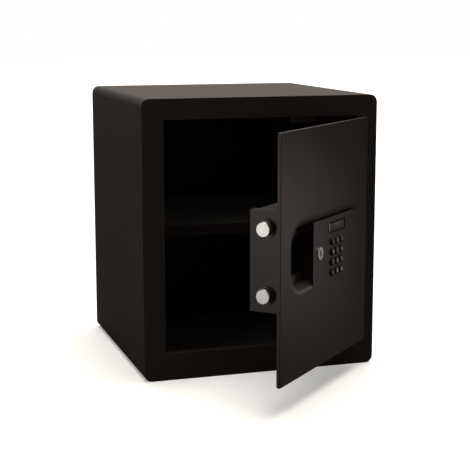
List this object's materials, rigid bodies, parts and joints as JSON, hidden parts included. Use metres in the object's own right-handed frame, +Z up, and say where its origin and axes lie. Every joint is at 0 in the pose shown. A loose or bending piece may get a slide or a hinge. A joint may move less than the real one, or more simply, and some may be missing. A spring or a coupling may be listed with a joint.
{
  "type": "safe",
  "caption": "Steel office safe with its door open, a keypad module with a finger pocket, motor-driven locking bolts and an inner shelf.",
  "frame": {"origin": "centre of the underside, on the plane that it stands on", "axes": "+X to the right facing the door, +Y to the back, +Z up"},
  "size_m": [0.35, 0.5518, 0.4],
  "materials": {
    "powder_coat": "fine-textured satin black powder coat",
    "black_abs": "fine-spark moulded black ABS",
    "key_rubber": "matt black silicone",
    "display_glass": "clear acrylic over a grey-green display",
    "nickel": "satin nickel plate",
    "zinc_steel": "bright zinc plate",
    "felt": "needle felt",
    "circuit_board": "solder mask",
    "nylon": "natural nylon",
    "brass": "turned",
    "cell_wrap": "printed shrink wrap",
    "red_plastic": "moulded"
  },
  "bodies": {
    "body": {"body_wrap": "powder_coat", "front_frame": "powder_coat", "back_panel": "powder_coat", "strike_jamb": "powder_coat", "door_stops": "powder_coat", "door_buffers": "key_rubber", "hinge_ears": "powder_coat", "hinge_pins": "zinc_steel", "hinge_washers": "nylon", "shelf": "powder_coat", "left_shelf_bracket": "powder_coat", "right_shelf_bracket": "powder_coat", "shelf_screws": "zinc_steel", "shelf_mat": "felt", "floor_mat": "felt"},
    "door": {"door_plate": "powder_coat", "upper_hinge_arm": "powder_coat", "lower_hinge_arm": "powder_coat", "hinge_screws": "zinc_steel", "module_housing": "black_abs", "control_fascia": "black_abs", "display_lens": "display_glass", "display_panel": "display_glass", "key_mat": "key_rubber", "keypad_board": "circuit_board", "cylinder_body": "nickel", "lock_bracket": "powder_coat", "bolt_bushes": "black_abs", "lock_cover": "powder_coat", "lock_chassis": "zinc_steel", "chassis_posts": "zinc_steel", "lock_screws": "zinc_steel", "gearbox": "black_abs", "motor": "zinc_steel", "rack_guides": "nylon", "battery_box": "black_abs", "batteries": "cell_wrap", "battery_door": "black_abs", "reset_switch": "black_abs"},
    "bolts": {"upper_bolt": "nickel", "lower_bolt": "nickel", "bolt_carriage": "zinc_steel", "drive_rack": "zinc_steel", "carriage_screws": "zinc_steel"},
    "pinion": {"drive_pinion": "brass"},
    "override_plug": {"key_plug": "nickel", "plug_cam": "zinc_steel"},
    "key_1": {"key_1": "key_rubber"},
    "key_2": {"key_2": "key_rubber"},
    "key_3": {"key_3": "key_rubber"},
    "key_4": {"key_4": "key_rubber"},
    "key_5": {"key_5": "key_rubber"},
    "key_6": {"key_6": "key_rubber"},
    "key_7": {"key_7": "key_rubber"},
    "key_8": {"key_8": "key_rubber"},
    "key_9": {"key_9": "key_rubber"},
    "key_star": {"key_star": "key_rubber"},
    "key_0": {"key_0": "key_rubber"},
    "key_hash": {"key_hash": "key_rubber"},
    "reset_button": {"reset_button": "red_plastic"}
  },
  "joints": [
    {"name": "door_hinge", "type": "hinge", "parent": "body", "child": "door", "pos_m": [0.166, -0.161, 0.205], "axis": [0, 0, 1], "range_deg": [-44.2, 50.8]},
    {"name": "bolt_slide", "type": "slide", "parent": "door", "child": "bolts", "axis": [-0.7169, -0.6972, 0], "range_m": [0, 0.018]},
    {"name": "pinion_turn", "type": "hinge", "parent": "door", "child": "pinion", "pos_m": [0.04044, -0.23986, 0.1997], "axis": [0.6972, -0.7169, 0], "range_deg": [-1, 130]},
    {"name": "override_turn", "type": "hinge", "parent": "door", "child": "override_plug", "pos_m": [0.0311, -0.29079, 0.1974], "axis": [-0.6972, 0.7169, 0], "range_deg": [0, 90]},
    {"name": "key_1_press", "type": "slide", "parent": "door", "child": "key_1", "axis": [-0.6972, 0.7169, 0], "range_m": [0, 0.0012], "stiffness_N_per_m": 800},
    {"name": "key_2_press", "type": "slide", "parent": "door", "child": "key_2", "axis": [-0.6972, 0.7169, 0], "range_m": [0, 0.0012], "stiffness_N_per_m": 800},
    {"name": "key_3_press", "type": "slide", "parent": "door", "child": "key_3", "axis": [-0.6972, 0.7169, 0], "range_m": [0, 0.0012], "stiffness_N_per_m": 800},
    {"name": "key_4_press", "type": "slide", "parent": "door", "child": "key_4", "axis": [-0.6972, 0.7169, 0], "range_m": [0, 0.0012], "stiffness_N_per_m": 800},
    {"name": "key_5_press", "type": "slide", "parent": "door", "child": "key_5", "axis": [-0.6972, 0.7169, 0], "range_m": [0, 0.0012], "stiffness_N_per_m": 800},
    {"name": "key_6_press", "type": "slide", "parent": "door", "child": "key_6", "axis": [-0.6972, 0.7169, 0], "range_m": [0, 0.0012], "stiffness_N_per_m": 800},
    {"name": "key_7_press", "type": "slide", "parent": "door", "child": "key_7", "axis": [-0.6972, 0.7169, 0], "range_m": [0, 0.0012], "stiffness_N_per_m": 800},
    {"name": "key_8_press", "type": "slide", "parent": "door", "child": "key_8", "axis": [-0.6972, 0.7169, 0], "range_m": [0, 0.0012], "stiffness_N_per_m": 800},
    {"name": "key_9_press", "type": "slide", "parent": "door", "child": "key_9", "axis": [-0.6972, 0.7169, 0], "range_m": [0, 0.0012], "stiffness_N_per_m": 800},
    {"name": "key_star_press", "type": "slide", "parent": "door", "child": "key_star", "axis": [-0.6972, 0.7169, 0], "range_m": [0, 0.0012], "stiffness_N_per_m": 800},
    {"name": "key_0_press", "type": "slide", "parent": "door", "child": "key_0", "axis": [-0.6972, 0.7169, 0], "range_m": [0, 0.0012], "stiffness_N_per_m": 800},
    {"name": "key_hash_press", "type": "slide", "parent": "door", "child": "key_hash", "axis": [-0.6972, 0.7169, 0], "range_m": [0, 0.0012], "stiffness_N_per_m": 800},
    {"name": "reset_press", "type": "slide", "parent": "door", "child": "reset_button", "axis": [0.6972, -0.7169, 0], "range_m": [0, 0.001], "stiffness_N_per_m": 800}
  ],
  "couplings": [
    {"joint": "pinion_turn", "follows": "bolt_slide", "rad_per_m": 125}
  ]
}
